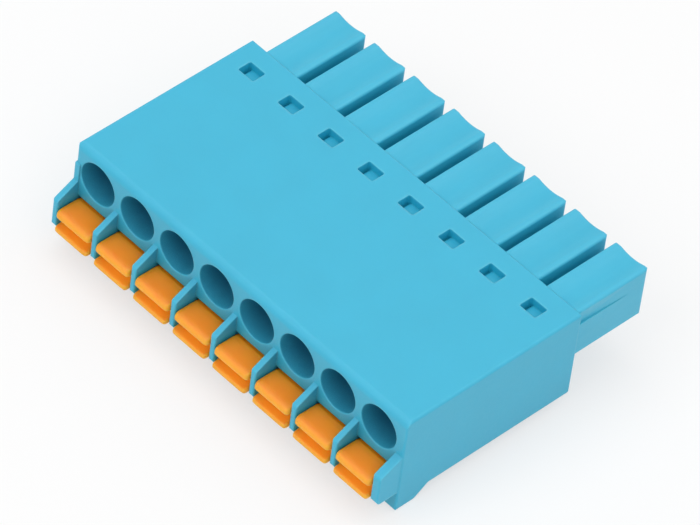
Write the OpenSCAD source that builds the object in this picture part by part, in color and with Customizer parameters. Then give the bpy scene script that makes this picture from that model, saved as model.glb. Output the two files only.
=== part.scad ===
// Pluggable terminal block: one moulded housing with a row of push-in wire entries at the
// front and a comb of plug sockets at the back. Each pole holds a stamped contact, a bent
// clamp spring and a release button that slides into the housing under its wire entry.
//
// Frame: +X along the row of poles, +Y from the wire entries to the plug side, +Z up.
// The origin is the middle of the underside of the whole part's box. Millimetres.

/* [Row of poles] */
// Number of poles
poles = 8; // [2:1:12]
// Distance from one pole to the next
pitch = 3.5; // [3.5:0.05:5.1]
// How far the row of wire entries lies off the middle of the housing
row_shift = -0.1; // [-0.15:0.05:0.15]

/* [Housing] */
// Housing beyond the last pole's own share of the row, at each end
end_margin = 0.35; // [0.3:0.05:1]
// Top face above the axis of the wire entries
entry_down = 2.02; // [1.9:0.02:2.6]
// Wall between a wire entry's mouth and the button channel under it
web_t = 0.65; // [0.5:0.05:1.2]
// Floor under the button channels and the clamp chambers
floor_t = 0.66; // [0.5:0.02:1.2]
// Depth of the front part that holds the wire entries and the button channels
front_d = 6.0; // [5.6:0.1:8]
// Depth of the clamp chambers behind it
chamber_d = 6.8; // [6.6:0.1:9]
// Wall behind the clamp chambers, over the roots of the comb
rear_wall = 1.35; // [1.1:0.05:2.5]
// Wall between the clamp chambers of two poles
chamber_wall = 0.9; // [0.8:0.05:1.2]
// Top wall over the clamp chambers
roof_t = 0.96; // [0.9:0.02:1.2]

/* [Wire entries] */
// Radius of an entry's mouth
entry_r = 1.47; // [1.3:0.01:1.55]
// Straight part of the mouth, before the funnel
mouth_d = 1.9; // [1.2:0.1:2.2]
// Length of the funnel
funnel_d = 0.7; // [0.4:0.1:1.2]
// Radius of the tunnel that guides the wire
wire_r = 1.0; // [0.8:0.05:1.0]
// Width of the bevel around the mouth
mouth_bevel = 0.03; // [0.02:0.01:0.1]

/* [Front walls and foot] */
// Thickness of the walls between the buttons
partition_t = 0.4; // [0.35:0.05:0.6]
// How far these walls stand out of the front face
partition_out = 1.65; // [1.2:0.05:2]
// Height of these walls' front edges
partition_edge_h = 2.2; // [1.8:0.1:2.6]
// Slope of their top edges, below the horizontal
partition_slope = 27; // [15:1:35]
// Where their slope leaves the front face, below the axis of the wire entries
partition_drop = 0.88; // [0.8:0.02:1.2]
// Radius of these walls' front corners, seen from the side
partition_round = 0.3; // [0.1:0.05:0.4]
// Radius of these walls' upright front edges
wall_round = 0.1; // [0.04:0.01:0.14]
// How far the outermost walls stand in from the housing's ends
wall_inset = 0.05; // [0:0.01:0.1]
// How far the left end wall stands out of the front face beside the first entry
ear_out = 0.09; // [0.05:0.01:0.3]
// Top of that wall above the axis of the wire entries
ear_up = 0.47; // [0.2:0.01:1]
// How far the foot reaches below the rest of the housing
foot_drop = 0.85; // [0.4:0.05:1.2]
// Depth of the foot's flat underside
foot_d = 1.32; // [0.8:0.02:2]
// Depth of the ramp behind the foot
foot_ramp = 1.25; // [0.6:0.05:2]

/* [Comb] */
// Length of the comb's teeth
comb_l = 5.85; // [5:0.05:8]
// Clear slot between two teeth
slot_w = 0.62; // [0.5:0.01:0.8]
// How far the teeth lie off their wire entries, along the row
comb_shift = 0.57; // [0.3:0.01:0.6]
// How much narrower the two outermost teeth are on their outer side
end_trim = 0.08; // [0:0.01:0.2]
// Underside of the teeth below the axis of the wire entries
tooth_down = 1.87; // [1.7:0.01:2.2]
// Step from the housing's top down to the tops of the teeth
tooth_step = 0.05; // [0.02:0.01:0.15]
// Depth of the shallow channel along the top of each tooth
scoop_d = 0.2; // [0.1:0.01:0.25]
// Width of that channel
scoop_w = 2.1; // [1.6:0.1:2.3]
// Wall of a tooth under and beside its socket
socket_wall = 0.44; // [0.4:0.01:0.5]
// How far the sockets reach back into the clamp chambers
socket_lap = 0.5; // [0.3:0.05:0.8]
// Thickness of a tooth's front wall, around its pin opening
tip_wall = 0.7; // [0.5:0.05:1]
// Width of the square pin opening
pin_hole_w = 1.3; // [1.1:0.05:1.4]
// Lead-in around the pin opening
pin_lead = 0.25; // [0.1:0.05:0.3]
// Depth of the wedge-shaped relief in the last tooth's outer side, at its root
relief_d = 0.15; // [0.05:0.01:0.2]
// Length of that relief
relief_l = 4.35; // [3:0.05:4.8]
// Ledge under that relief, above the axis of the wire entries
relief_up = 0.74; // [0.4:0.02:1.2]

/* [Test recesses] */
// Width of a test recess along the row
test_w = 1.32; // [0.9:0.01:1.6]
// Length of a test recess, front to back
test_l = 1.04; // [0.7:0.01:1.3]
// Depth of a test recess
test_depth = 0.56; // [0.3:0.02:0.64]
// Middle of the test recesses in front of the housing's rear face
test_back = 1.89; // [1.2:0.01:2.6]
// Radius of a test point's corners
test_round = 0.12; // [0.05:0.01:0.2]
// Width of the deeper slot along a test point's left side
test_slot_w = 0.2; // [0.1:0.02:0.4]
// Depth of the deeper slot
test_slot_depth = 0.82; // [0.66:0.02:0.86]

/* [Release buttons] */
// Height of a button
button_h = 1.7; // [1.5:0.05:2.4]
// Clear gap between a button and its channel, on every side
button_gap = 0.1; // [0.06:0.01:0.14]
// How far the upper lip stands out of the front face
lip_out = 1.88; // [1.5:0.02:2.4]
// How far the lower lip stands out further than the upper one
lower_lip_more = 0.04; // [0:0.01:0.2]
// Height of the upper lip at the screwdriver groove
lip_h = 0.62; // [0.5:0.02:0.7]
// Height of the groove at its back
groove_h = 0.6; // [0.4:0.02:0.64]
// Depth of the groove behind the upper lip's nose
groove_d = 0.75; // [0.4:0.05:1]
// Fall of the groove's floor towards the front
groove_fall = 0.12; // [0:0.01:0.16]
// Fall of the button's top from its crown to the shank
crown_fall = 0.12; // [0.06:0.01:0.2]
// Radius of the crown
crown_r = 7; // [5:0.5:20]
// Travel of a button
button_travel = 1.0; // [0.6:0.05:1.1]
// Width of the tongue that pushes the clamp spring
tongue_w = 1.9; // [1.4:0.1:2.2]
// Thickness of that tongue
tongue_t = 0.5; // [0.3:0.05:0.6]

/* [Contacts] */
// Thickness of the contact's strip
strip_t = 0.3; // [0.2:0.02:0.35]
// Width of the current bar
bar_w = 1.7; // [1.2:0.05:1.8]
// Thickness of the two socket springs
prong_t = 0.25; // [0.15:0.01:0.3]
// Gap between the socket springs where they grip the pin
grip_gap = 0.86; // [0.7:0.02:1]
// Gap between the socket springs at their roots
root_gap = 1.24; // [1.1:0.02:1.3]
// Length of the bridge that carries the socket springs
bridge_l = 1.9; // [1.2:0.1:2.6]
// Length of the socket springs' flared mouths
flare_l = 1.3; // [0.8:0.1:1.6]
// Start of the current bar behind the wire tunnel
bar_start = 0.3; // [0.1:0.05:0.6]
// Clearance between a contact and the walls that hold it
seat_gap = 0.02; // [0.01:0.01:0.04]

/* [Clamp springs] */
// Thickness of the spring strip
spring_t = 0.25; // [0.2:0.01:0.3]
// Width of the spring strip
spring_w = 1.8; // [1.2:0.1:2.2]
// Radius of the spring's bend, to the middle of the strip
bend_r = 0.5; // [0.4:0.02:0.55]
// Lean of the clamping leg from the horizontal
leg_lean = 50; // [46:1:56]
// Where the middle of the bend lies behind the wire tunnel
bend_back = 1.9; // [1.6:0.05:2.2]
// Gap between the clamping leg and the button's tongue, and the current bar, at rest
rest_gap = 0.08; // [0.04:0.01:0.12]

/* [Edges] */
// Radius of the housing's front top edge
front_round = 0.5; // [0.3:0.05:0.6]
// Radius of the housing's upright front edge on the left
left_round = 0.25; // [0.1:0.01:0.5]
// Radius of the housing's upright front edge on the right
right_round = 0.12; // [0.06:0.01:0.5]
// Radius of the housing's other outer edges
edge_round = 0.18; // [0.05:0.01:0.25]
// Radius of a tooth's upright tip edges
tip_round = 0.3; // [0.1:0.02:0.4]
// Radius of a button's upright front edges
button_round = 0.25; // [0.1:0.02:0.4]
// Radius of the upper lip's nose, above its middle
nose_round = 0.34; // [0.2:0.02:0.36]
// Radius of the lower lip's edges
lip_round = 0.14; // [0.05:0.01:0.2]

/* [Hidden] */
$fn = 48;
// overlap of joined solids and overrun of cuts
over = 0.5;
// free end of the contact's socket springs
end_gap = 0.2;

// widths along the row
body_w = poles * pitch + 2 * end_margin;
channel_w = pitch - partition_t;
chamber_w = pitch - chamber_wall;
button_w = channel_w - 2 * button_gap;
tooth_w = pitch - slot_w;
socket_w = tooth_w - 2 * socket_wall;

// depths
body_d = front_d + chamber_d + rear_wall;
lower_lip_out = lip_out + lower_lip_more;
shank_d = front_d - button_travel - button_gap;
face_y = -(body_d + comb_l - lower_lip_out) / 2;
rear_y = face_y + body_d;
tip_y = rear_y + comb_l;
chamber_y = face_y + front_d;
chamber_end_y = chamber_y + chamber_d;
socket_y = chamber_end_y - socket_lap;

// heights: the stack under the axis of the wire entries sets the axis's own height
channel_top_down = entry_r + web_t;
button_top_down = channel_top_down + button_gap;
button_foot_down = button_top_down + button_h;
channel_floor_down = button_foot_down + button_gap;
entry_z = foot_drop + floor_t + channel_floor_down;
top_z = entry_z + entry_down;
floor_z = entry_z - channel_floor_down;
roof_z = top_z - roof_t;
socket_z = entry_z - tooth_down + socket_wall;
pin_z = (roof_z + socket_z) / 2;

shank_top_z = entry_z - button_top_down - crown_fall;

// ---------------------------------------------------------------- helpers

function unit(v) = v / norm(v);

// middle of a pole's wire entry along the row; poles count from 1 at the left
function pole_x(i) = row_shift + (i - (poles + 1) / 2) * pitch;

// outline with rounded convex corners: radii[i] belongs to points[i]
module rounded(points, radii) {
    n = len(points);
    difference() {
        polygon(points);
        for (i = [0 : n - 1])
            if (radii[i] > 0)
                corner_cut(points[i], points[(i + n - 1) % n], points[(i + 1) % n], radii[i]);
    }
}

// what a radius takes off the corner at p, between its neighbours
module corner_cut(p, before, after, r) {
    a = unit(before - p);
    b = unit(after - p);
    half = acos(a * b) / 2;
    reach = r / tan(half);
    centre = p + unit(a + b) * r / sin(half);
    out = unit(p - centre) * r;
    difference() {
        polygon([centre, p + a * reach, p + a * reach + out, p + b * reach + out, p + b * reach]);
        translate(centre) circle(r);
    }
}

// rectangle from corner lo to corner hi, with radii from the lower left, anticlockwise
module rounded_box(lo, hi, radii) {
    rounded([lo, [hi[0], lo[1]], hi, [lo[0], hi[1]]], radii);
}

// side view: an outline drawn in Y and Z, given a width along X from x0 to x1
module across(x0, x1) {
    translate([x0, 0, 0])
        rotate([90, 0, 90])
            linear_extrude(x1 - x0) children();
}

// end view: an outline drawn in X and Z, given a depth from y0 to y1
module along(y0, y1) {
    translate([0, y1, 0])
        rotate([90, 0, 0])
            linear_extrude(y1 - y0) children();
}

// plan view: an outline drawn in X and Y, given a height from z0 to z1
module upright(z0, z1) {
    translate([0, 0, z0])
        linear_extrude(z1 - z0) children();
}

module block(lo, hi) {
    translate(lo) cube(hi - lo);
}

// ---------------------------------------------------------------- housing

// outer form: three rounded outlines, seen from the end, from above and from the front
module housing_form() {
    x = body_w / 2;
    intersection() {
        across(-x, x)
            rounded([
                [face_y, 0],
                [face_y + foot_d, 0],
                [face_y + foot_d + foot_ramp, foot_drop],
                [rear_y, foot_drop],
                [rear_y, top_z],
                [face_y, top_z],
            ], [edge_round, edge_round / 2, 0, edge_round, edge_round / 2, front_round]);
        upright(-over, top_z + over)
            rounded_box([-x, face_y], [x, rear_y],
                [left_round, right_round, edge_round / 2, edge_round]);
        along(face_y - over, rear_y + over)
            rounded_box([-x, 0], [x, top_z],
                [edge_round, edge_round, edge_round, edge_round]);
    }
}

// thin wall in front of the face: bevelled on top, rounded at its front edge
module front_wall(x0, x1) {
    top = entry_z - partition_drop;
    front = face_y - partition_out;
    shoulder = top - partition_out * tan(partition_slope);
    foot = shoulder - partition_edge_h;
    intersection() {
        across(x0, x1)
            rounded([
                [face_y + over, foot],
                [front, foot],
                [front, shoulder],
                [face_y, top],
                [face_y + over, top],
            ], [0, partition_round, partition_round, 0, 0]);
        upright(foot, top)
            rounded_box([x0, front], [x1, face_y + over], [wall_round, wall_round, 0, 0]);
    }
}

// upper part of the left end wall, which keeps its square edge beside the first entry
module ear(x0, x1) {
    top = entry_z + ear_up;
    foot = entry_z - partition_drop - over;
    across(x0, x1)
        rounded([
            [face_y + over, foot],
            [face_y - ear_out, foot],
            [face_y - ear_out, top],
            [face_y + over, top],
        ], [0, 0, ear_out, 0]);
}

module front_walls() {
    for (i = [1 : poles - 1]) {
        x = pole_x(i) + pitch / 2;
        front_wall(x - partition_t / 2, x + partition_t / 2);
    }
    left = pole_x(1) - channel_w / 2;
    right = pole_x(poles) + channel_w / 2;
    outer = body_w / 2 - wall_inset;
    front_wall(-outer, left);
    front_wall(right, outer);
    ear(-outer, left);
}

// one tooth of the comb: three rounded outlines, and the shallow channel along its top
module tooth(i) {
    x = pole_x(i) + comb_shift;
    x0 = x - tooth_w / 2 + (i == 1 ? end_trim : 0);
    x1 = x + tooth_w / 2 - (i == poles ? end_trim : 0);
    root_y = rear_y - over;
    foot_z = entry_z - tooth_down;
    crown_z = top_z - tooth_step;
    soft = edge_round;
    scoop_r = (scoop_w * scoop_w / 4 + scoop_d * scoop_d) / (2 * scoop_d);
    difference() {
        intersection() {
            upright(foot_z, crown_z)
                rounded_box([x0, root_y], [x1, tip_y], [0, 0, tip_round, tip_round]);
            along(root_y, tip_y)
                rounded_box([x0, foot_z], [x1, crown_z], [soft / 2, soft / 2, soft, soft]);
            across(x0, x1)
                rounded_box([root_y, foot_z], [tip_y, crown_z], [0, soft / 2, soft, 0]);
        }
        translate([x, tip_y + over, crown_z - scoop_d + scoop_r])
            rotate([90, 0, 0]) {
                cylinder(r = scoop_r, h = comb_l + over);
                cylinder(r1 = scoop_r + over + soft / 2, r2 = scoop_r, h = over + soft / 2);
            }
    }
}

// relief in the outer side of the last tooth: where a wedge seen from above, which fades
// out towards the tip, crosses a wedge seen from the end, which fades out upwards
module relief_cut() {
    x = pole_x(poles) + comb_shift + tooth_w / 2 - end_trim;
    low = entry_z + relief_up;
    high = top_z - tooth_step - edge_round;
    // a narrow land at the root leaves the housing's rear face its plain outline
    start = rear_y + edge_round;
    end = rear_y + relief_l;
    intersection() {
        upright(low, high)
            polygon([[x - relief_d, start], [x + over, start], [x + over, end], [x, end]]);
        along(start, end)
            polygon([[x - relief_d, low], [x + over, low], [x + over, high], [x, high]]);
    }
}

// bevelled mouth, funnel and tunnel of one wire entry
module entry_cut(i) {
    bevel = mouth_bevel;
    translate([pole_x(i), face_y, entry_z])
        rotate([-90, 0, 0]) {
            translate([0, 0, -over]) cylinder(r = entry_r, h = mouth_d + over);
            // a bevel of 45 degrees, begun as far in front of the face as it reaches in
            translate([0, 0, -bevel])
                cylinder(r1 = entry_r + 2 * bevel, r2 = entry_r, h = 2 * bevel);
            translate([0, 0, mouth_d]) cylinder(r1 = entry_r, r2 = wire_r, h = funnel_d);
            cylinder(r = wire_r, h = front_d + over);
        }
}

// button channel, clamp chamber and plug socket of one pole
module pole_cut(i) {
    x = pole_x(i);
    tx = x + comb_shift;
    channel_top_z = entry_z - channel_top_down;
    block([x - channel_w / 2, face_y - partition_out - over, floor_z],
        [x + channel_w / 2, chamber_y, channel_top_z]);
    block([x - chamber_w / 2, chamber_y - button_gap, floor_z],
        [x + chamber_w / 2, chamber_end_y, roof_z]);
    block([tx - socket_w / 2, socket_y, socket_z],
        [tx + socket_w / 2, tip_y - tip_wall, roof_z]);
    block([tx - pin_hole_w / 2, tip_y - tip_wall - over, pin_z - pin_hole_w / 2],
        [tx + pin_hole_w / 2, tip_y + over, pin_z + pin_hole_w / 2]);
    pin_lead_cut(tx);
}

// four-sided lead-in of a pin opening: where two wedge outlines cross
module pin_lead_cut(x) {
    inset = pin_lead / 5;
    narrow = pin_hole_w / 2 - inset;
    wide = pin_hole_w / 2 + pin_lead;
    back = tip_y - pin_lead - inset;
    intersection() {
        upright(pin_z - wide, pin_z + wide)
            polygon([[x - narrow, back], [x + narrow, back], [x + wide, tip_y], [x - wide, tip_y]]);
        across(x - wide, x + wide)
            polygon([[back, pin_z - narrow], [tip_y, pin_z - wide],
                [tip_y, pin_z + wide], [back, pin_z + narrow]]);
    }
}

// recess of one test point, with a deeper slot along its left side
module test_cut(i) {
    x0 = pole_x(i) - test_w / 2;
    y0 = rear_y - test_back - test_l / 2;
    y1 = y0 + test_l;
    r = test_round;
    upright(top_z - test_depth, top_z + over)
        rounded_box([x0, y0], [x0 + test_w, y1], [r, r, r, r]);
    upright(top_z - test_slot_depth, top_z)
        rounded_box([x0, y0], [x0 + test_slot_w, y1], [r, 0, 0, r]);
}

module housing() {
    color([0.31, 0.74, 0.87])
        difference() {
            union() {
                housing_form();
                front_walls();
                for (i = [1 : poles]) tooth(i);
            }
            for (i = [1 : poles]) {
                entry_cut(i);
                pole_cut(i);
                test_cut(i);
            }
            relief_cut();
        }
}

// ---------------------------------------------------------------- release buttons

// side view of a button: two lips with the screwdriver groove between them, and the shank
module button_side() {
    crown_z = entry_z - button_top_down;
    foot_z = crown_z - button_h;
    lip_z = crown_z - lip_h;
    groove_y = face_y - lip_out + groove_d;
    lower_z = lip_z - groove_h;
    // upper lip, under a slightly crowned top
    intersection() {
        rounded_box([face_y - lip_out, lip_z], [face_y, crown_z],
            [lip_h - nose_round - 0.02, 0, 0, nose_round]);
        translate([face_y - lip_out / 2, crown_z - crown_r]) circle(crown_r, $fn = 96);
    }
    // lower lip
    rounded([
        [groove_y + over, lower_z],
        [groove_y, lower_z],
        [face_y - lower_lip_out, lower_z - groove_fall],
        [face_y - lower_lip_out, foot_z],
        [face_y, foot_z],
        [face_y, lower_z],
    ], [0, 0, lip_round, lip_round, 0, 0]);
    // shank
    translate([groove_y, foot_z]) square([shank_d + face_y - groove_y, shank_top_z - foot_z]);
}

// tongue that reaches the clamp spring, cut parallel to its leg
module tongue_side() {
    low_z = shank_top_z - tongue_t;
    polygon([
        [face_y + shank_d - over, low_z],
        [leg_front_y(low_z) - rest_gap, low_z],
        [leg_front_y(shank_top_z) - rest_gap, shank_top_z],
        [face_y + shank_d - over, shank_top_z],
    ]);
}

module button(i) {
    x = pole_x(i);
    color([0.95, 0.58, 0.17]) {
        intersection() {
            across(x - button_w / 2, x + button_w / 2) button_side();
            upright(0, top_z)
                rounded_box([x - button_w / 2, face_y - lower_lip_out],
                    [x + button_w / 2, face_y + shank_d + over],
                    [button_round, button_round, 0, 0]);
        }
        across(x - tongue_w / 2, x + tongue_w / 2) tongue_side();
    }
}

// ---------------------------------------------------------------- contacts

// one socket spring seen from above: it closes on the pin and flares at its mouth
module prong(side) {
    root = root_gap / 2;
    grip = grip_gap / 2;
    y0 = socket_y + seat_gap;
    y1 = chamber_end_y + bridge_l;
    y3 = tip_y - tip_wall - end_gap;
    y2 = y3 - flare_l;
    mirror([side < 0 ? 1 : 0, 0])
        polygon([
            [root, y0], [root + prong_t, y0],
            [root + prong_t, y1], [grip + prong_t, y2], [root + prong_t / 2, y3],
            [root - prong_t / 2, y3], [grip, y2], [root, y1],
        ]);
}

// bar under the chamber's roof, wall that carries it, bridge and socket springs
module contact(i) {
    x = pole_x(i);
    bar_x = x + comb_shift / 2;
    tx = x + comb_shift;
    bar_top = roof_z - seat_gap;
    wall_y = socket_y - strip_t;
    half = root_gap / 2 + prong_t;
    color([0.80, 0.79, 0.74]) {
        block([bar_x - bar_w / 2, chamber_y + bar_start, bar_top - strip_t],
            [bar_x + bar_w / 2, chamber_end_y - seat_gap, bar_top]);
        block([bar_x - bar_w / 2, wall_y, floor_z + seat_gap],
            [bar_x + bar_w / 2, wall_y + strip_t, bar_top]);
        block([tx - half, socket_y + seat_gap, bar_top - strip_t],
            [tx + half, chamber_end_y + bridge_l, bar_top]);
        translate([tx, 0, 0])
            for (side = [-1, 1])
                upright(socket_z + end_gap / 2, bar_top) prong(side);
    }
}

// ---------------------------------------------------------------- clamp springs

// middle of the spring's bend, and where the clamping leg leaves it
bend_y = chamber_y + bend_back;
bend_z = floor_z + seat_gap + spring_t / 2 + bend_r;
leg_y = bend_y - bend_r * sin(leg_lean);
leg_z = bend_z + bend_r * cos(leg_lean);

// front side of the clamping leg at height z
function leg_front_y(z) = leg_y + (z - leg_z) / tan(leg_lean) - spring_t / 2 / sin(leg_lean);

// fixed leg on the floor, bend, and clamping leg up to the current bar
module spring_side() {
    t = spring_t;
    tip_z = roof_z - seat_gap - strip_t - rest_gap - t / 2 * cos(leg_lean);
    leg_l = (tip_z - leg_z) / sin(leg_lean);
    end_y = socket_y - strip_t - seat_gap;
    away = 4 * bend_r;
    translate([bend_y, bend_z - bend_r - t / 2]) square([end_y - bend_y, t]);
    translate([bend_y, bend_z])
        difference() {
            circle(bend_r + t / 2);
            circle(bend_r - t / 2);
            // what lies behind the bend, between the two legs
            polygon([[0, 0], [0, -away], [away, -away], [away, away],
                away * [cos(leg_lean) - sin(leg_lean), sin(leg_lean) + cos(leg_lean)],
                away * [-sin(leg_lean), cos(leg_lean)]]);
        }
    translate([leg_y, leg_z])
        rotate(leg_lean)
            translate([0, -t / 2]) square([leg_l, t]);
}

module spring(i) {
    x = pole_x(i);
    color([0.62, 0.63, 0.65])
        across(x - spring_w / 2, x + spring_w / 2) spring_side();
}

// ---------------------------------------------------------------- assembly

housing();
button(1);  // button_1
button(2);  // button_2
button(3);  // button_3
button(4);  // button_4
button(5);  // button_5
button(6);  // button_6
button(7);  // button_7
button(8);  // button_8
contact(1);  // contact_1
contact(2);  // contact_2
contact(3);  // contact_3
contact(4);  // contact_4
contact(5);  // contact_5
contact(6);  // contact_6
contact(7);  // contact_7
contact(8);  // contact_8
spring(1);  // spring_1
spring(2);  // spring_2
spring(3);  // spring_3
spring(4);  // spring_4
spring(5);  // spring_5
spring(6);  // spring_6
spring(7);  // spring_7
spring(8);  // spring_8
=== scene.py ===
"""Looks for a pluggable terminal block: moulded plastic, soft-edged release buttons, tinned
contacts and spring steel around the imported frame, with a plain studio and its camera."""

import math

import bpy
import numpy as np
from bpy.props import FloatProperty, FloatVectorProperty, PointerProperty
from mathutils import Matrix, Vector


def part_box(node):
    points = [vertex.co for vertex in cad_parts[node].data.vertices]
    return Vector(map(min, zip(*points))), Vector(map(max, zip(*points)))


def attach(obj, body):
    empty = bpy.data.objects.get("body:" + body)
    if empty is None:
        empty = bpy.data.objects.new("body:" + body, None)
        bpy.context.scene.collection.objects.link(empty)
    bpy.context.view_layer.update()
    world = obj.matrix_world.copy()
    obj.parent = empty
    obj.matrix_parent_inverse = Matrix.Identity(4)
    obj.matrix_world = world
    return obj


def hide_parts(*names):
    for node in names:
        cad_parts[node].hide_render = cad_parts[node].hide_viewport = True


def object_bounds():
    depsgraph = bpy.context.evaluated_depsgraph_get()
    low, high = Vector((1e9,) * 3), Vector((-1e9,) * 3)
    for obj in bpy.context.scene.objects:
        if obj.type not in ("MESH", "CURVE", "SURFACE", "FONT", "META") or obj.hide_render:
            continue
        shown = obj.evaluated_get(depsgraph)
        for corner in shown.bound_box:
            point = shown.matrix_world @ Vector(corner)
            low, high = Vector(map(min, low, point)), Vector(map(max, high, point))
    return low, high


bl_info = {
    "name": "Pluggable Terminal Block",
    "version": (1, 0, 0),
    "blender": (4, 5, 0),
    "location": "View3D > Sidebar > Terminal Block",
    "description": "Finishes the housing, buttons, contacts and springs of a terminal block",
    "category": "Object",
}

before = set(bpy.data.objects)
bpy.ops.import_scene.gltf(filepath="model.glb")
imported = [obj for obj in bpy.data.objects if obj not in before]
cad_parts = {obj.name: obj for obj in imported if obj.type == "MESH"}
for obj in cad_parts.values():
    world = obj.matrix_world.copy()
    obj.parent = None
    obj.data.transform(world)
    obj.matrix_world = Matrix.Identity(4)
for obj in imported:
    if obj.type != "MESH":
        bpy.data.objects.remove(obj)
CAD_BOX = [list(corner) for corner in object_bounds()]
POLES = sum(name.startswith("button_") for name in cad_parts)
MM = 0.001

# The comb: the middle of the slot halfway along it, and the plane at its teeth's root
COMB_MIDDLE = 0.47 * MM
COMB_ROOT = 5.11 * MM

# Behind this plane the painted shade of the mouths gives way to the painted shade of the slots,
# over the fade
MOUTHS_END = -5 * MM
MOUTHS_FADE = 4 * MM

# Moulded plastic: the sizes of its patterns
CLOUD_SIZE = 3.5 * MM
SPECK_SIZE = 0.35 * MM
HOLLOW_SIZE = 3.5 * MM
GRAIN_HEIGHT = 0.004 * MM
# how far clouds and specks change its colour
CLOUD_CONTRAST = 0.05
SPECK_SHARE = 0.12
SPECK_SHADE = 0.86
# the width of its painted edge highlights, in softnesses of an edge, how soon they turn fully
# pale, and how soon they fade in hollows
EDGE_HIGHLIGHT_WIDTH = 1.8
EDGE_HIGHLIGHT_GAIN = 2.4
EDGE_HIGHLIGHT_SHELTER = 2.0
# and how far specks, clouds and hollows change its roughness
SPECK_ROUGHNESS = 0.16
CLOUD_ROUGHNESS = 0.06
HOLLOW_ROUGHNESS = 0.4
PLASTIC_IOR = 1.5
# Light of the plastic's own colour spreads by its whole reach, the rest by this share
SPREAD_LEAST = 0.3

# Painted highlight on the comb, pale along the teeth's edges and in streaks
COMB_STREAK_WIDTH = 0.5 * MM
COMB_HIGHLIGHT_FADE = 0.3 * MM
COMB_STREAK_STRETCH = (1.0, 0.1, 1.0)

# Rolled metal strip
STREAK_WIDTH = 0.12 * MM
STREAK_HEIGHT = 0.0015 * MM
STREAK_STRETCH = (1.0, 0.06, 1.0)
STREAK_ROUGHNESS = 0.15
SHEEN_SIZE = 0.9 * MM
SHEEN_SHARE = 0.5
SHEEN_SHADE = 0.82
STRIP_EDGE = 0.03 * MM

# Release button, seen from the side: places behind the front of its lower lip
UPPER_LIP = 0.04 * MM
FACE = 1.92 * MM
SHANK_END = 6.82 * MM
TONGUE_START = 6.32 * MM
# heights below the middle of its crown
SHANK_DROP = 0.12 * MM
CROWN_DROP = 0.063 * MM
CROWN_BEND_DROP = 0.012 * MM
# from the middle of its crown to the bends that carry the crown's arc
CROWN_BEND = 0.5 * MM
CROWN_BEND_RADIUS = 2 * MM
# the groove's depth, and the fall of its floor towards the front
GROOVE_DEPTH = 0.75 * MM
GROOVE_FALL = 0.12 * MM
# radii of its edges
NOSE_RADIUS = 0.3 * MM
LIP_RADIUS = 0.24 * MM
LOWER_LIP_RADIUS = 0.15 * MM
GROOVE_RADIUS = 0.08 * MM
SHANK_RADIUS = 0.05 * MM
FACE_RADIUS = 0.02 * MM
# and how far behind the front its corners, seen from above, have faded out
CORNER_FADE = 0.8 * MM

# Tongue of a button: its width and height, the cut of its tip and its edges
TONGUE_WIDTH = 1.9 * MM
TONGUE_HEIGHT = 0.5 * MM
TONGUE_CUT = 0.42 * MM
TONGUE_RADIUS = 0.04 * MM
TONGUE_CORNER = 0.05 * MM
TONGUE_FADE = 0.1 * MM

# Fineness of the buttons' meshes: points of a fillet, points from an end's edge to its flat,
# points across the width, and the spacing of points along straight runs
FILLET_POINTS = 10
END_POINTS = 9
WIDTH_POINTS = 13
BUTTON_SPACING = 0.1 * MM
TONGUE_SPACING = 0.2 * MM
SHARP_ANGLE = math.radians(50)

# Studio: the point of the top face at which the camera aims
AIM = Vector((2.834 * MM, -2.876 * MM, CAD_BOX[1][2]))
# half the floor's side in metres, its colour, and its own light's share of what is seen of it
FLOOR_HALF = 1.5
FLOOR_COLOUR = (0.88, 0.88, 0.88, 1)
FLOOR_GLOW = 0.6
# distance and side of the lamps, in metres
LAMP_DISTANCE = 0.6
LAMP_SIZE = 0.38
# lamps: name, share of the power, azimuth and elevation in degrees
LAMPS = (
    ("front", 0.221, 350, 45),
    ("right", 0.146, 60, 45),
    ("left", 0.144, 270, 70),
    ("back", 0.106, 180, 70),
    ("back_right", 0.098, 135, 50),
)

WHITE = (1, 1, 1, 1)

# Shader nodes: the sockets of a Mix node that take and give colours, and the samples of the
# nodes that soften edges and find hollows
MIX_FIRST, MIX_SECOND, MIX_RESULT = 6, 7, 2
BEVEL_SAMPLES = 8
HOLLOW_SAMPLES = 6


# ---------------------------------------------------------------- shader helpers


class Tone:
    """A number that runs through a shader: an expression on it adds its Math nodes."""

    def __init__(self, paint, socket):
        self.paint = paint
        self.socket = socket

    def _math(self, operation, *values):
        node = self.paint.add("ShaderNodeMath", {"operation": operation}, values)
        return Tone(self.paint, node.outputs[0])

    def __add__(self, other):
        return self._math("ADD", self, other)

    __radd__ = __add__

    def __mul__(self, other):
        return self._math("MULTIPLY", self, other)

    __rmul__ = __mul__

    def __sub__(self, other):
        return self._math("SUBTRACT", self, other)

    def __rsub__(self, other):
        return self._math("SUBTRACT", other, self)

    def __truediv__(self, other):
        return self._math("DIVIDE", self, other)

    def __rtruediv__(self, other):
        return self._math("DIVIDE", other, self)

    def fraction(self):
        """What the number has beyond the whole number below it."""
        return self._math("FRACT", self)


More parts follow.
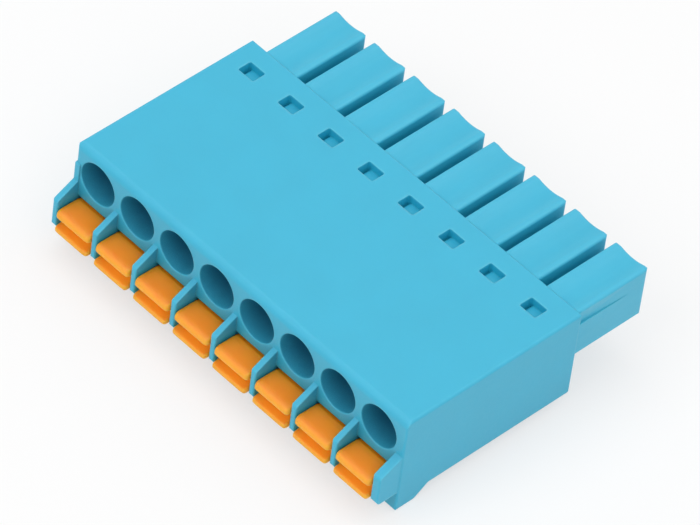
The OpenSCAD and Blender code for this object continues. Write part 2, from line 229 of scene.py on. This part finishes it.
class Paint:
    """The node tree of a world, or of a new material that is given by name, with one method
    that adds any node."""

    def __init__(self, owner):
        if isinstance(owner, str):
            owner = bpy.data.materials.new(owner)
        owner.use_nodes = True
        self.owner = owner
        self.tree = owner.node_tree
        self.shader = self.tree.nodes.get("Principled BSDF")

    def place(self):
        """The object's own coordinates."""
        return self.add("ShaderNodeTexCoord", {}, []).outputs["Object"]

    def along(self, axis):
        """One of the object's own coordinates, in metres."""
        node = self.add("ShaderNodeSeparateXYZ", {}, [self.place()])
        return Tone(self, node.outputs[axis])

    def upright(self):
        """1 on an upright face, falling to 0 on a level one."""
        source = self.add("ShaderNodeTexCoord", {}, []).outputs["Normal"]
        level = Tone(self, self.add("ShaderNodeSeparateXYZ", {}, [source]).outputs["Z"])
        return 1.0 - level * level

    def add(self, kind, settings, sockets):
        """Adds a node: its settings come first, then the values or links of its sockets."""
        node = self.tree.nodes.new(kind)
        for key, value in settings.items():
            setattr(node, key, value)
        pairs = sockets.items() if isinstance(sockets, dict) else enumerate(sockets)
        for key, value in pairs:
            self.feed(node.inputs[key], value)
        return node

    def feed(self, target, value):
        """Links a value that varies to a socket, or sets a constant on it."""
        if isinstance(value, Tone):
            value = value.socket
        if isinstance(value, bpy.types.NodeSocket):
            self.tree.links.new(value, target)
        else:
            target.default_value = value

    def set(self, **sockets):
        """Feeds sockets of the Principled shader, named with underscores for spaces."""
        for key, value in sockets.items():
            self.feed(self.shader.inputs[key.replace("_", " ")], value)

    def noise(self, size, detail=2.0, rough=0.5, stretch=(1, 1, 1)):
        """Noise from 0 to 1 with features of the given size in metres, which are longer along
        an axis whose stretch is under 1."""
        spot = self.add(
            "ShaderNodeMapping",
            {},
            {"Vector": self.place(), "Scale": [s / size for s in stretch]},
        )
        node = self.add(
            "ShaderNodeTexNoise",
            {},
            {"Vector": spot.outputs[0], "Scale": 1.0, "Detail": detail, "Roughness": rough},
        )
        return Tone(self, node.outputs["Fac"])

    def mix(self, factor, first, second):
        """Mixes two colours: the factor is the share of the second one."""
        sockets = {"Factor": factor, MIX_FIRST: first, MIX_SECOND: second}
        return self.add("ShaderNodeMix", {"data_type": "RGBA"}, sockets).outputs[MIX_RESULT]

    def softened(self, radius):
        """The normal, turned gradually across every edge within the radius."""
        node = self.add("ShaderNodeBevel", {"samples": BEVEL_SAMPLES}, {"Radius": radius})
        return node.outputs["Normal"]

    def edges(self, radius):
        """0 on a flat face, rising within the radius of an edge: 1 minus the dot product of the
        softened normal and the plain one."""
        flat = self.add("ShaderNodeNewGeometry", {}, []).outputs["Normal"]
        turn = self.add(
            "ShaderNodeVectorMath", {"operation": "DOT_PRODUCT"}, [self.softened(radius), flat]
        )
        return 1.0 - Tone(self, turn.outputs["Value"])

    def depth(self, distance):
        """0 in the open, rising towards 1 inside holes and between walls that are nearer to
        each other than the distance."""
        settings = {"samples": HOLLOW_SAMPLES, "only_local": True}
        node = self.add("ShaderNodeAmbientOcclusion", settings, {"Distance": distance})
        return 1.0 - Tone(self, node.outputs["AO"])

    def relief(self, height, depth, radius):
        """Feeds Normal with a bump of the given depth over edges softened by the radius."""
        bump = self.add(
            "ShaderNodeBump",
            {},
            {
                "Strength": 1.0,
                "Distance": depth,
                "Height": height,
                "Normal": self.softened(radius),
            },
        )
        self.set(Normal=bump.outputs["Normal"])


def with_alpha(colour, factor=1.0):
    """A colour property as the four numbers a colour socket takes, made lighter or darker."""
    return [min(channel * factor, 1.0) for channel in colour] + [1.0]


def limited(tone):
    """The number kept between 0 and 1."""
    node = tone.paint.add("ShaderNodeClamp", {}, [tone])
    return Tone(tone.paint, node.outputs[0])


def moulded(paint, look, grain, edge, hollow_shading, highlight_share):
    """Moulded plastic: a fine eroded grain and faint clouds from the moulding, with a painted
    highlight of the pale colour along its open edges and by the highlight share, and painted
    shading of the hollow colour inside its holes. Light spreads under its skin by the glow, as
    far as the reach."""
    clouds = paint.noise(CLOUD_SIZE, detail=3.0)
    specks = paint.noise(SPECK_SIZE, detail=4.0, rough=0.6)
    hollow = paint.depth(HOLLOW_SIZE)
    exposed = limited(1.0 - hollow * EDGE_HIGHLIGHT_SHELTER)
    # painted highlight along the open edges, fading out in hollows
    edge_highlight = limited(paint.edges(EDGE_HIGHLIGHT_WIDTH * edge) * EDGE_HIGHLIGHT_GAIN) * exposed
    dark = with_alpha(look.colour, 1 - CLOUD_CONTRAST)
    light = with_alpha(look.colour, 1 + CLOUD_CONTRAST)
    base = paint.mix(clouds, dark, light)
    base = paint.mix(specks * SPECK_SHARE, base, with_alpha(look.colour, SPECK_SHADE))
    # painted highlight: the edges and the highlight share turn to the pale colour
    base = paint.mix(limited(edge_highlight + highlight_share), base, with_alpha(look.pale))
    # painted shading: hollows take the hollow colour, the more enclosed the more
    base = paint.mix(limited(hollow * hollow * look.shade), base, hollow_shading)
    uneven = (specks - 0.5) * SPECK_ROUGHNESS + (clouds - 0.5) * CLOUD_ROUGHNESS
    spread = [SPREAD_LEAST + (1 - SPREAD_LEAST) * channel for channel in look.colour]
    paint.set(
        Base_Color=base,
        Roughness=look.roughness + uneven + hollow * HOLLOW_ROUGHNESS,
        IOR=PLASTIC_IOR,
        Subsurface_Weight=look.glow,
        Subsurface_Radius=spread,
        Subsurface_Scale=look.reach,
    )
    paint.relief(paint.noise(grain, detail=3.0, rough=0.6), GRAIN_HEIGHT, edge)
    return paint.owner


def painted_comb_highlight(paint, pitch):
    """A painted highlight on the comb, behind the teeth's root: pale towards each tooth's edges
    and along streaks that run with the teeth. Besides the streaks it rises from 0 at a tooth's
    middle to 1 in the middle of a slot: four times the squared distance, in pitches."""
    aside = ((paint.along("X") - COMB_MIDDLE) / pitch).fraction() - 0.5
    streaks = paint.noise(COMB_STREAK_WIDTH, detail=3.0, rough=0.6, stretch=COMB_STREAK_STRETCH)
    behind = limited((paint.along("Y") - COMB_ROOT) / COMB_HIGHLIGHT_FADE)
    return limited(aside * aside * 4.0 + streaks - 0.5) * behind


def drawn_strip(name, colour, roughness):
    """Rolled metal strip: streaks along Y, the rolling direction, and a cloudy sheen."""
    paint = Paint(name)
    streaks = paint.noise(STREAK_WIDTH, detail=4.0, rough=0.6, stretch=STREAK_STRETCH)
    sheen = paint.noise(SHEEN_SIZE) * SHEEN_SHARE
    paint.set(
        Base_Color=paint.mix(sheen, with_alpha(colour), with_alpha(colour, SHEEN_SHADE)),
        Metallic=1.0,
        Roughness=roughness + streaks * STREAK_ROUGHNESS,
    )
    paint.relief(streaks, STREAK_HEIGHT, STRIP_EDGE)
    return paint.owner


# ---------------------------------------------------------------- surfaces


def fillet(before, corner, after, radius):
    """Arc of the given radius that rounds a corner: it starts and ends at the tangent points,
    and its centre lies on the bisector, radius / sin(half the corner's angle) away."""
    before, corner, after = (np.array(p, float) for p in (before, corner, after))
    a = (before - corner) / np.linalg.norm(before - corner)
    b = (after - corner) / np.linalg.norm(after - corner)
    half = math.acos(np.clip(a @ b, -1, 1)) / 2
    middle = (a + b) / np.linalg.norm(a + b)
    centre = corner + middle * radius / math.sin(half)
    start = corner + a * radius / math.tan(half) - centre
    end = corner + b * radius / math.tan(half) - centre
    turn = math.atan2(start[0] * end[1] - start[1] * end[0], start @ end)
    angles = np.linspace(0, turn, FILLET_POINTS)
    cos, sin = np.cos(angles), np.sin(angles)
    return centre + np.stack(
        [start[0] * cos - start[1] * sin, start[0] * sin + start[1] * cos], axis=1
    )


def rounded_outline(corners, spacing):
    """Closed outline through corners (y, z, radius): fillets joined by straight runs that are
    cut into pieces of about the spacing."""
    arcs = [
        fillet(corners[i - 1][:2], corner[:2], corners[(i + 1) % len(corners)][:2], corner[2])
        for i, corner in enumerate(corners)
    ]
    parts = []
    for i, arc in enumerate(arcs):
        after = arcs[(i + 1) % len(arcs)][0]
        count = max(int(np.linalg.norm(after - arc[-1]) / spacing), 1)
        steps = np.linspace(0, 1, count + 1)[1:-1, None]
        parts += [arc, arc[-1] + (after - arc[-1]) * steps]
    return np.concatenate(parts)


def outward(outline):
    """Unit normals of a closed anticlockwise outline, across the chord of each point's
    neighbours."""
    along = np.roll(outline, -1, axis=0) - np.roll(outline, 1, axis=0)
    along /= np.linalg.norm(along, axis=1, keepdims=True)
    return np.stack([along[:, 1], -along[:, 0]], axis=1)


def swept_block(outline, centre_x, width, soft, nose, reach):
    """Grid of an outline carried across a width. Point (s, t) is the outline's point s, moved
    in along its normal by soft * (1 - cos t) while x runs out by soft * sin t, so that both
    ends are rounded. Near the ends the front also steps back by a circle of radius nose, which
    fades out over the reach behind the front."""
    turn = np.linspace(0, math.pi / 2, END_POINTS)
    x_end = width / 2 - soft + soft * np.sin(turn)
    x_mid = np.linspace(-1, 1, WIDTH_POINTS)[1:-1] * (width / 2 - soft)
    x = np.concatenate([-x_end[::-1], x_mid, x_end])
    inset = soft * (1 - np.cos(turn))
    inset = np.concatenate([inset[::-1], np.zeros(len(x_mid)), inset])
    points = outline[None] - outward(outline)[None] * inset[:, None, None]
    past = np.clip(np.abs(x) - (width / 2 - nose), 0, nose)
    back = nose - np.sqrt(nose**2 - past**2)
    front = outline[:, 0].min()
    fade = np.clip(1 - (points[..., 0] - front) / reach, 0, 1)
    grid = np.empty(points.shape[:2] + (3,))
    grid[..., 0] = centre_x + x[:, None]
    grid[..., 1] = points[..., 0] + back[:, None] * fade
    grid[..., 2] = points[..., 1]
    return grid


def grid_faces(rows, columns, first):
    """Quads of a grid that is closed along its columns, with a face over each end."""
    row, column = np.meshgrid(np.arange(rows - 1), np.arange(columns), indexing="ij")
    beside = (column + 1) % columns
    quads = np.stack(
        [
            row * columns + column,
            (row + 1) * columns + column,
            (row + 1) * columns + beside,
            row * columns + beside,
        ],
        axis=-1,
    ).reshape(-1, 4)
    faces = (quads + first).tolist()
    faces.append((np.arange(columns) + first).tolist())
    faces.append((np.arange(columns)[::-1] + first + (rows - 1) * columns).tolist())
    return faces


def solid_piece(name, grids, material, body):
    """One object from closed grids, in its material, that rides on a body."""
    points, faces = [], []
    for grid in grids:
        faces += grid_faces(grid.shape[0], grid.shape[1], sum(len(p) for p in points))
        points.append(grid.reshape(-1, 3))
    mesh = bpy.data.meshes.new(name)
    mesh.from_pydata(np.concatenate(points).tolist(), [], faces)
    mesh.polygons.foreach_set("use_smooth", np.ones(len(faces), bool))
    mesh.set_sharp_from_angle(angle=SHARP_ANGLE)
    mesh.materials.append(material)
    piece = bpy.data.objects.new(name, mesh)
    bpy.context.scene.collection.objects.link(piece)
    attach(piece, body)
    return piece


def dress(node, material):
    """Gives every slot of a CAD node the material."""
    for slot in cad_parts[node].material_slots:
        slot.link = "OBJECT"
        slot.material = material


# ---------------------------------------------------------------- settings


class HousingSettings(bpy.types.PropertyGroup):
    colour: FloatVectorProperty(
        name="Colour",
        description="Colour of the moulded housing",
        default=(0.038, 0.443, 0.640),
        subtype="COLOR",
    )
    # painted highlight: the colour that the housing's open edges and the comb's teeth take
    pale: FloatVectorProperty(
        name="Edge Colour",
        description="Colour of the housing's edges",
        default=(0.125, 0.570, 0.750),
        subtype="COLOR",
    )
    # painted shade: the colour that the hollows round the wire mouths take
    hollow_shading: FloatVectorProperty(
        name="Mouth Colour",
        description="Colour inside the wire mouths",
        default=(0.0, 0.112, 0.215),
        subtype="COLOR",
    )
    # painted shade: the colour that the slots and recesses behind the mouths take, lighter than the
    # mouths'
    slot: FloatVectorProperty(
        name="Slot Colour",
        description="Colour inside the slots and recesses, whose thin walls let light through",
        default=(0.0, 0.432, 0.605),
        subtype="COLOR",
    )
    # strength of the painted highlight along the comb's teeth
    flow: FloatProperty(
        name="Flow Marks", description="Strength of the pale flow marks on the comb", default=0.3
    )
    shade: FloatProperty(
        name="Hollow Shade", description="How strongly hollows take those colours", default=1.15
    )
    roughness: FloatProperty(name="Roughness", description="Roughness of the plastic", default=0.42)
    grain: FloatProperty(
        name="Grain", description="Size of the eroded grain", default=0.10 * MM, unit="LENGTH"
    )
    edge: FloatProperty(
        name="Edge", description="Softness of the moulded edges", default=0.16 * MM, unit="LENGTH"
    )
    glow: FloatProperty(
        name="Glow", description="Share of the light that spreads in the plastic", default=0.3
    )
    reach: FloatProperty(
        name="Reach", description="How far that light spreads", default=0.35 * MM, unit="LENGTH"
    )


class ButtonSettings(bpy.types.PropertyGroup):
    colour: FloatVectorProperty(
        name="Colour",
        description="Colour of the release buttons",
        default=(0.97, 0.292, 0.005),
        subtype="COLOR",
    )
    # painted highlight: the colour that the buttons' rounded edges and upright faces take
    pale: FloatVectorProperty(
        name="Edge Colour",
        description="Colour of the buttons' rounded edges",
        default=(1.0, 0.41, 0.025),
        subtype="COLOR",
    )
    # painted bounce light: the lighter, yellower colour that the grooves and the crown's rear take
    hollow_shading: FloatVectorProperty(
        name="Hollow Colour",
        description="Colour inside the buttons' grooves",
        default=(1.0, 0.46, 0.020),
        subtype="COLOR",
    )
    shade: FloatProperty(
        name="Hollow Shade", description="How strongly grooves take that colour", default=1.2
    )
    roughness: FloatProperty(name="Roughness", description="Roughness of the plastic", default=0.46)
    glow: FloatProperty(
        name="Glow", description="Share of the light that spreads in the plastic", default=0.7
    )
    reach: FloatProperty(
        name="Reach", description="How far that light spreads", default=1.0 * MM, unit="LENGTH"
    )
    soft: FloatProperty(
        name="Soft Ends",
        description="Radius of the edges at a lip's two ends",
        default=0.14 * MM,
        unit="LENGTH",
    )
    nose: FloatProperty(
        name="Corner",
        description="Radius of a lip's two front corners, seen from above",
        default=0.26 * MM,
        unit="LENGTH",
    )
    lip: FloatProperty(
        name="Lip", description="Height of the upper lip", default=0.62 * MM, unit="LENGTH"
    )
    groove: FloatProperty(
        name="Groove", description="Height of the groove", default=0.6 * MM, unit="LENGTH"
    )


class MetalSettings(bpy.types.PropertyGroup):
    tin: FloatVectorProperty(
        name="Tin",
        description="Colour of the tinned contacts",
        default=(0.62, 0.60, 0.54),
        subtype="COLOR",
    )
    tin_roughness: FloatProperty(
        name="Tin Roughness", description="Roughness of the tinned contacts", default=0.3
    )
    steel: FloatVectorProperty(
        name="Steel",
        description="Colour of the clamp springs",
        default=(0.36, 0.37, 0.39),
        subtype="COLOR",
    )
    steel_roughness: FloatProperty(
        name="Steel Roughness", description="Roughness of the clamp springs", default=0.25
    )


class StudioSettings(bpy.types.PropertyGroup):
    azimuth: FloatProperty(
        name="Azimuth",
        description="Camera's turn to the right of the front",
        default=math.radians(40.902),
        unit="ROTATION",
    )
    elevation: FloatProperty(
        name="Elevation",
        description="Camera's height above the horizon",
        default=math.radians(46.327),
        unit="ROTATION",
    )
    roll: FloatProperty(
        name="Roll", description="Camera's roll", default=math.radians(8.196), unit="ROTATION"
    )
    distance: FloatProperty(
        name="Distance", description="Camera to object", default=445.81 * MM, unit="LENGTH"
    )
    lens: FloatProperty(name="Lens", description="Focal length in millimetres", default=389.86)
    dome: FloatProperty(name="Dome", description="Strength of the surrounding light", default=0.57)
    softbox: FloatProperty(
        name="Softbox", description="Power that the lamps share", default=3.80, unit="POWER"
    )


# ---------------------------------------------------------------- operators


class BLOCK_OT_housing(bpy.types.Operator):
    """Finish the moulded housing"""

    bl_idname = "block.housing"
    bl_label = "Housing"

    def execute(self, context):
        look = context.scene.block_housing
        paint = Paint("housing_plastic")
        # painted shade in the hollows: the mouths' colour in front, the slots' colour behind
        behind = limited((paint.along("Y") - MOUTHS_END) / MOUTHS_FADE)
        hollow_shading = paint.mix(behind, with_alpha(look.hollow_shading), with_alpha(look.slot))
        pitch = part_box("button_2")[0].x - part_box("button_1")[0].x
        # painted highlight along the teeth's edges
        flow = painted_comb_highlight(paint, pitch) * look.flow
        dress("housing", moulded(paint, look, look.grain, look.edge, hollow_shading, flow))
        return {"FINISHED"}


class BLOCK_OT_buttons(bpy.types.Operator):
    """Shape and finish the release buttons: two soft lips, the groove and the shank"""

    bl_idname = "block.buttons"
    bl_label = "Release Buttons"

    def execute(self, context):
        look = context.scene.block_button
        housing = context.scene.block_housing
        paint = Paint("button_plastic")
        # painted highlight on the buttons' upright faces as well as their edges
        material = moulded(
            paint, look, housing.grain, housing.edge, with_alpha(look.hollow_shading), paint.upright()
        )
        for i in range(1, POLES + 1):
            low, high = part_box(f"button_{i}")
            middle = (low.x + high.x) / 2
            body = swept_block(
                self.outline(look, low.y, low.z, high.z),
                middle,
                high.x - low.x,
                look.soft,
                look.nose,
                CORNER_FADE,
            )
            tongue = swept_block(
                self.tongue(low.y + TONGUE_START, high.y, high.z - SHANK_DROP),
                middle,
                TONGUE_WIDTH,
                TONGUE_RADIUS,
                TONGUE_CORNER,
                TONGUE_FADE,
            )
            piece = solid_piece(
                f"release_button_{i}", [body, tongue], material, f"button_{i}"
            )
            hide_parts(f"button_{i}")
        return {"FINISHED"}

    def outline(self, look, front, foot, crown):
        """Side outline of a button, from its lower front corner along its foot, round the
        shank and the crown and through the groove. The crown is nearly an arc: two wide bends
        near its middle, with straight runs that fall to its ends."""
        lip = crown - look.lip
        floor = lip - look.groove
        nose = front + UPPER_LIP
        groove = nose + GROOVE_DEPTH
        face = front + FACE
        shank = front + SHANK_END
        top = crown - SHANK_DROP
        crown_y = (nose + face) / 2
        crown_end = crown - CROWN_DROP
        corners = [
            (front, foot, LOWER_LIP_RADIUS),
            (shank, foot, SHANK_RADIUS),
            (shank, top, SHANK_RADIUS),
            (face, top, FACE_RADIUS),
            (face, crown_end, FACE_RADIUS),
            (crown_y + CROWN_BEND, crown - CROWN_BEND_DROP, CROWN_BEND_RADIUS),
            (crown_y - CROWN_BEND, crown - CROWN_BEND_DROP, CROWN_BEND_RADIUS),
            (nose, crown_end, NOSE_RADIUS),
            (nose, lip, LIP_RADIUS),
            (groove, lip, GROOVE_RADIUS),
            (groove, floor, GROOVE_RADIUS),
            (front, floor - GROOVE_FALL, LOWER_LIP_RADIUS),
        ]
        return rounded_outline(corners, BUTTON_SPACING)

    def tongue(self, start, tip, top):
        """Side outline of the tongue, whose tip is cut parallel to the spring's leg that it
        presses."""
        low = top - TONGUE_HEIGHT
        corners = [
            (start, low, TONGUE_RADIUS),
            (tip - TONGUE_CUT, low, TONGUE_RADIUS),
            (tip, top, TONGUE_RADIUS),
            (start, top, TONGUE_RADIUS),
        ]
        return rounded_outline(corners, TONGUE_SPACING)


class BLOCK_OT_contacts(bpy.types.Operator):
    """Finish the tinned contacts"""

    bl_idname = "block.contacts"
    bl_label = "Contacts"

    def execute(self, context):
        look = context.scene.block_metal
        material = drawn_strip("tinned_strip", look.tin, look.tin_roughness)
        for i in range(1, POLES + 1):
            dress(f"contact_{i}", material)
        return {"FINISHED"}


class BLOCK_OT_springs(bpy.types.Operator):
    """Finish the clamp springs"""

    bl_idname = "block.springs"
    bl_label = "Clamp Springs"

    def execute(self, context):
        look = context.scene.block_metal
        material = drawn_strip("spring_steel", look.steel, look.steel_roughness)
        for i in range(1, POLES + 1):
            dress(f"spring_{i}", material)
        return {"FINISHED"}


def direction(azimuth, elevation):
    """Unit vector away from the object, turned from the front to the right and raised."""
    level = math.cos(elevation)
    across, back = math.sin(azimuth) * level, -math.cos(azimuth) * level
    return Vector((across, back, math.sin(elevation)))


def add_lamp(name, power, azimuth, elevation):
    """A square area lamp round the object, aimed at it. The azimuth turns from the front to
    the right, and both angles are in degrees."""
    lamp = bpy.data.lights.new(name, "AREA")
    lamp.shape = "SQUARE"
    lamp.size = LAMP_SIZE
    lamp.energy = power
    holder = bpy.data.objects.new(name, lamp)
    bpy.context.scene.collection.objects.link(holder)
    away = direction(math.radians(azimuth), math.radians(elevation))
    turn = away.to_track_quat("Z", "Y").to_matrix().to_4x4()
    holder.matrix_world = Matrix.Translation(away * LAMP_DISTANCE) @ turn


def seen_directly(paint):
    """1 for what the camera sees, also in reflections and through clear things, else 0."""
    ray = paint.add("ShaderNodeLightPath", {}, [])
    kinds = ("Is Camera Ray", "Is Glossy Ray", "Is Transmission Ray")
    camera, glossy, clear = (Tone(paint, ray.outputs[kind]) for kind in kinds)
    return limited(camera + glossy + clear)


class BLOCK_OT_stage(bpy.types.Operator):
    """Set up the floor, the soft light and the camera"""

    bl_idname = "block.stage"
    bl_label = "Stage"

    def execute(self, context):
        studio = context.scene.block_studio
        self.make_camera(context.scene, studio)
        self.make_floor()
        self.make_light(context.scene, studio)
        context.scene.view_settings.view_transform = "Standard"
        return {"FINISHED"}

    def make_camera(self, scene, studio):
        """The camera stands at an azimuth, elevation and distance from the aim, then rolls."""
        lens = bpy.data.cameras.new("camera")
        lens.lens = studio.lens
        camera = bpy.data.objects.new("camera", lens)
        scene.collection.objects.link(camera)
        away = direction(studio.azimuth, studio.elevation)
        side = (-away).cross(Vector((0, 0, 1))).normalized()
        over = side.cross(-away)
        right = side * math.cos(studio.roll) + over * math.sin(studio.roll)
        up = over * math.cos(studio.roll) - side * math.sin(studio.roll)
        turn = Matrix((right, up, away)).transposed().to_4x4()
        camera.matrix_world = Matrix.Translation(AIM + away * studio.distance) @ turn
        scene.camera = camera

    def make_floor(self):
        """A white sheet. Most of what the camera and reflections see of it is its own light,
        so that it stays white and the object's shadow on it stays faint."""
        mesh = bpy.data.meshes.new("floor")
        low, high = -FLOOR_HALF, FLOOR_HALF
        corners = [(low, low, 0), (high, low, 0), (high, high, 0), (low, high, 0)]
        mesh.from_pydata(corners, [], [(0, 1, 2, 3)])
        floor = bpy.data.objects.new("floor", mesh)
        bpy.context.scene.collection.objects.link(floor)
        paint = Paint("floor_paper")
        paint.set(Base_Color=FLOOR_COLOUR, Roughness=0.9, Specular_IOR_Level=0.0)
        glow = paint.add("ShaderNodeEmission", {}, {"Color": WHITE, "Strength": 1.0})
        shaders = [paint.shader.outputs[0], glow.outputs[0]]
        both = paint.add("ShaderNodeMixShader", {}, [seen_directly(paint) * FLOOR_GLOW, *shaders])
        paint.feed(paint.tree.nodes["Material Output"].inputs["Surface"], both.outputs[0])
        mesh.materials.append(paint.owner)

    def make_light(self, scene, studio):
        """An even dome, with five large soft boxes round the object."""
        world = bpy.data.worlds.new("studio")
        paint = Paint(world)
        sky = paint.tree.nodes["Background"]
        seen = seen_directly(paint)
        paint.feed(sky.inputs["Color"], WHITE)
        paint.feed(sky.inputs["Strength"], studio.dome + seen * (1 - studio.dome))
        scene.world = world
        for name, share, azimuth, elevation in LAMPS:
            add_lamp(name, share * studio.softbox, azimuth, elevation)


class BLOCK_PT_panel(bpy.types.Panel):
    """The steps, as buttons in the sidebar"""

    bl_label = "Terminal Block"
    bl_idname = "BLOCK_PT_panel"
    bl_space_type = "VIEW_3D"
    bl_region_type = "UI"
    bl_category = "Terminal Block"

    def draw(self, context):
        for step in STEPS:
            self.layout.operator(step.bl_idname)


STEPS = (
    BLOCK_OT_stage,
    BLOCK_OT_housing,
    BLOCK_OT_buttons,
    BLOCK_OT_contacts,
    BLOCK_OT_springs,
)
SETTINGS = {
    "block_housing": HousingSettings,
    "block_button": ButtonSettings,
    "block_metal": MetalSettings,
    "block_studio": StudioSettings,
}


def register():
    for group in SETTINGS.values():
        bpy.utils.register_class(group)
    for name, group in SETTINGS.items():
        setattr(bpy.types.Scene, name, PointerProperty(type=group))
    for item in STEPS + (BLOCK_PT_panel,):
        bpy.utils.register_class(item)


def unregister():
    for item in reversed(STEPS + (BLOCK_PT_panel,)):
        bpy.utils.unregister_class(item)
    for name in SETTINGS:
        delattr(bpy.types.Scene, name)
    for group in reversed(list(SETTINGS.values())):
        bpy.utils.unregister_class(group)


def main():
    register()
    bpy.ops.block.stage()
    bpy.ops.block.housing()
    bpy.ops.block.buttons()
    bpy.ops.block.contacts()
    bpy.ops.block.springs()


if __name__ == "__main__":
    main()
